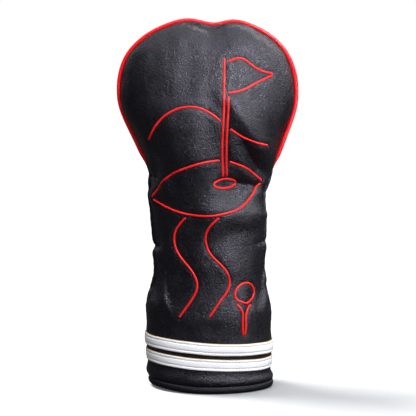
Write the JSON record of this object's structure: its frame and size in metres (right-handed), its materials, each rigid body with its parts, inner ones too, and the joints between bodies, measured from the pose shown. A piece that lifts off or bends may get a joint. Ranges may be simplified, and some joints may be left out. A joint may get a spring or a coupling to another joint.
{
  "type": "golf driver head cover",
  "caption": "Padded slip-on head cover for a golf driver: wide piped head, narrow neck, twin stripes above a bound open hem.",
  "frame": {"origin": "centre of the open hem, on the surface that the cover stands on", "axes": "+Z from the hem to the crown along the club's shaft, -Y towards the viewer of the embroidered front panel, +X to that viewer's right"},
  "size_m": [0.1602, 0.0927, 0.3313],
  "materials": {
    "black_leather": "pebbled semi-gloss synthetic leather",
    "white_leather": "smooth semi-gloss synthetic leather, sewn along both edges",
    "red_piping": "smooth gloss vinyl wrapped round a cord",
    "black_binding": "folded binding strip, semi-gloss",
    "cord_filler": "twisted cotton-type cord",
    "foam": "open-cell foam laminated to knit",
    "fleece": "brushed fleece",
    "backing": "non-woven stabiliser",
    "elastic": "woven elastic webbing",
    "white_thread": "polyester sewing thread",
    "black_thread": "polyester sewing thread",
    "red_thread": "satin-stitched embroidery thread"
  },
  "bodies": {
    "root": {"front_panel": "black_leather", "back_panel": "black_leather", "piping_cover": "red_piping", "piping_cord": "cord_filler", "front_padding": "foam", "back_padding": "foam", "front_lining": "fleece", "back_lining": "fleece", "embroidery_backing": "backing", "neck_elastic": "elastic", "upper_stripe": "white_leather", "lower_stripe": "white_leather", "hem_binding": "black_binding", "upper_stripe_stitching": "white_thread", "lower_stripe_stitching": "white_thread", "hem_stitching": "black_thread", "head_seam_stitching": "black_thread", "side_seam_stitching": "black_thread", "elastic_stitching": "black_thread", "motif_flag": "red_thread", "motif_flagstick": "red_thread", "motif_cup": "red_thread", "motif_far_hill": "red_thread", "motif_green": "red_thread", "motif_fairway": "red_thread", "motif_ball": "red_thread", "motif_tee": "red_thread"}
  },
  "joints": []
}
